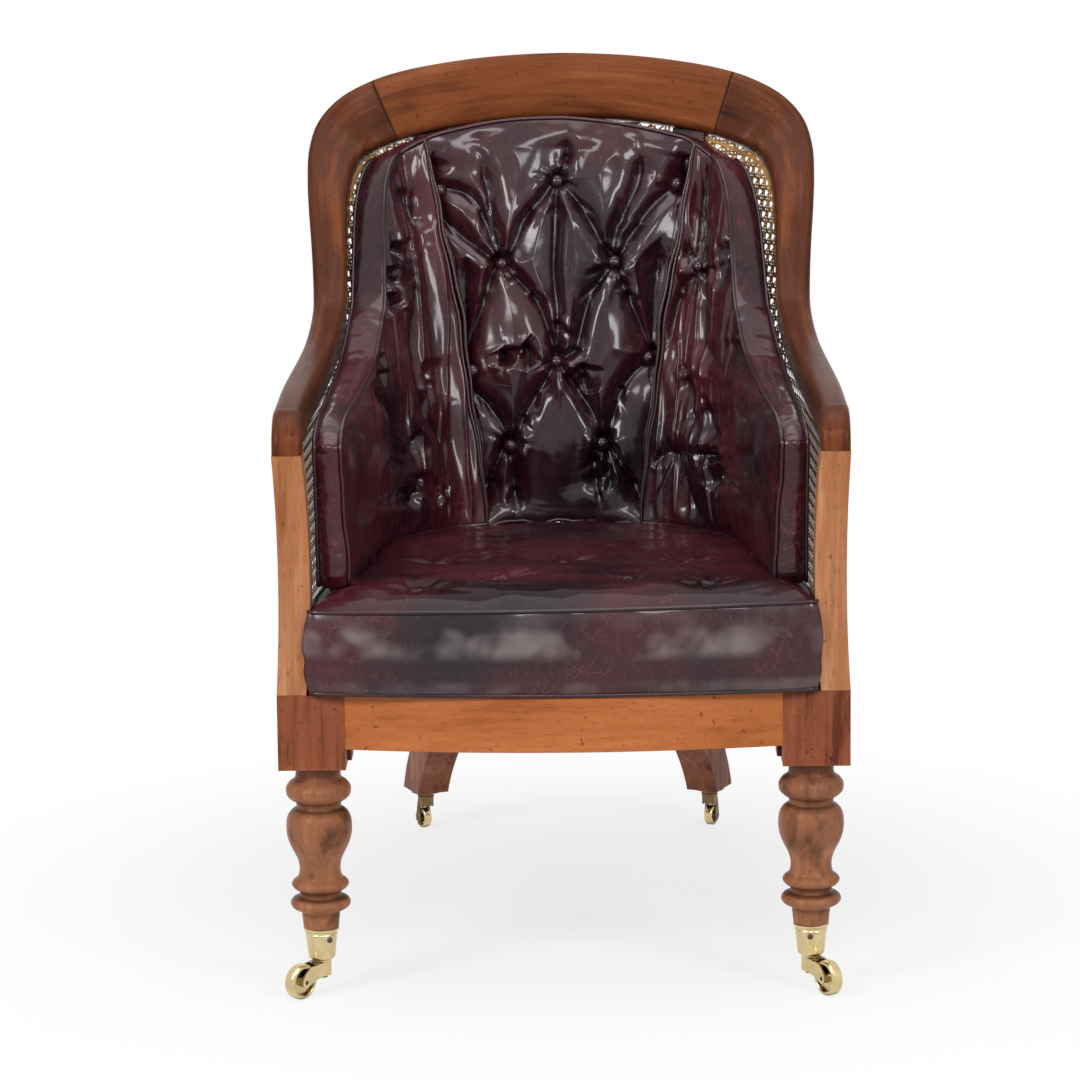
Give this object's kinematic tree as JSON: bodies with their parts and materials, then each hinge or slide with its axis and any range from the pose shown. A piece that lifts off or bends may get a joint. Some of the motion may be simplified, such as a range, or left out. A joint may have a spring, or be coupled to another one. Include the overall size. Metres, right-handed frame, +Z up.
{
  "type": "library armchair",
  "caption": "Curved-back library armchair with caned back, sides and seat, loose buttoned leather squabs, turned front legs, sabre rear legs and castors.",
  "frame": {"origin": "on the floor under the middle of the chair's overall box", "axes": "+X to the viewer's right seen from the front, +Y to the back, +Z up"},
  "size_m": [0.618, 0.8032, 0.9828],
  "materials": {
    "mahogany": "French polished, satin, worn at the edges",
    "dark_mahogany": "dark French polished, satin",
    "golden_mahogany": "faded golden brown, satin, fine cracks",
    "beech_dowel": "plain, inside the joints",
    "woven_cane": "six-way woven cane, honey coloured",
    "cane_binding": "flat cane strip, satin",
    "burgundy_leather": "glossy, crackled, deep-buttoned",
    "brass": "polished and worn",
    "dark_brass": "dark patina",
    "iron": "dark and dull"
  },
  "bodies": {
    "frame": {"crest_rail": "mahogany", "left_arm_rail": "dark_mahogany", "right_arm_rail": "dark_mahogany", "left_arm_support": "golden_mahogany", "right_arm_support": "golden_mahogany", "left_front_leg": "mahogany", "right_front_leg": "mahogany", "front_seat_rail": "golden_mahogany", "left_seat_rail": "mahogany", "right_seat_rail": "mahogany", "rear_seat_rail": "mahogany", "left_rear_leg": "mahogany", "right_rear_leg": "mahogany", "corner_blocks": "mahogany", "corner_block_screws": "iron", "frame_dowels": "beech_dowel", "back_cane": "woven_cane", "left_side_cane": "woven_cane", "right_side_cane": "woven_cane", "seat_cane": "woven_cane", "cane_bindings": "cane_binding", "seat_squab": "burgundy_leather", "back_squab": "burgundy_leather", "left_side_squab": "burgundy_leather", "right_side_squab": "burgundy_leather", "squab_buttons": "burgundy_leather", "left_front_cup": "brass", "right_front_cup": "brass", "cup_screws": "iron", "left_front_pivot": "iron", "right_front_pivot": "iron", "left_rear_plate": "dark_brass", "right_rear_plate": "dark_brass", "plate_screws": "iron", "left_rear_pivot": "iron", "right_rear_pivot": "iron"},
    "left_front_swivel": {"left_front_horn": "brass", "left_front_axle": "iron"},
    "left_front_roller": {"left_front_wheel": "brass"},
    "right_front_swivel": {"right_front_horn": "brass", "right_front_axle": "iron"},
    "right_front_roller": {"right_front_wheel": "brass"},
    "left_rear_swivel": {"left_rear_fork": "dark_brass", "left_rear_axle": "iron"},
    "left_rear_roller": {"left_rear_wheel": "brass"},
    "right_rear_swivel": {"right_rear_fork": "dark_brass", "right_rear_axle": "iron"},
    "right_rear_roller": {"right_rear_wheel": "brass"}
  },
  "joints": [
    {"name": "left_front_swivel_turn", "type": "hinge", "parent": "frame", "child": "left_front_swivel", "pos_m": [-0.2685, -0.3411, 0.039], "axis": [0, 0, 1], "continuous": true},
    {"name": "left_front_wheel_turn", "type": "hinge", "parent": "left_front_swivel", "child": "left_front_roller", "pos_m": [-0.29058, -0.36562, 0.0195], "axis": [0.7431, -0.6691, 0], "continuous": true},
    {"name": "right_front_swivel_turn", "type": "hinge", "parent": "frame", "child": "right_front_swivel", "pos_m": [0.2685, -0.3411, 0.039], "axis": [0, 0, 1], "continuous": true},
    {"name": "right_front_wheel_turn", "type": "hinge", "parent": "right_front_swivel", "child": "right_front_roller", "pos_m": [0.28599, -0.36909, 0.0195], "axis": [0.848, 0.5299, 0], "continuous": true},
    {"name": "left_rear_swivel_turn", "type": "hinge", "parent": "frame", "child": "left_rear_swivel", "pos_m": [-0.18024, 0.37141, 0.04], "axis": [0, 0, 1], "continuous": true},
    {"name": "left_rear_wheel_turn", "type": "hinge", "parent": "left_rear_swivel", "child": "left_rear_roller", "pos_m": [-0.18359, 0.37639, 0.013], "axis": [-0.829, -0.5592, 0], "continuous": true},
    {"name": "right_rear_swivel_turn", "type": "hinge", "parent": "frame", "child": "right_rear_swivel", "pos_m": [0.18024, 0.37141, 0.04], "axis": [0, 0, 1], "continuous": true},
    {"name": "right_rear_wheel_turn", "type": "hinge", "parent": "right_rear_swivel", "child": "right_rear_roller", "pos_m": [0.18296, 0.37676, 0.013], "axis": [-0.891, 0.454, 0], "continuous": true}
  ]
}
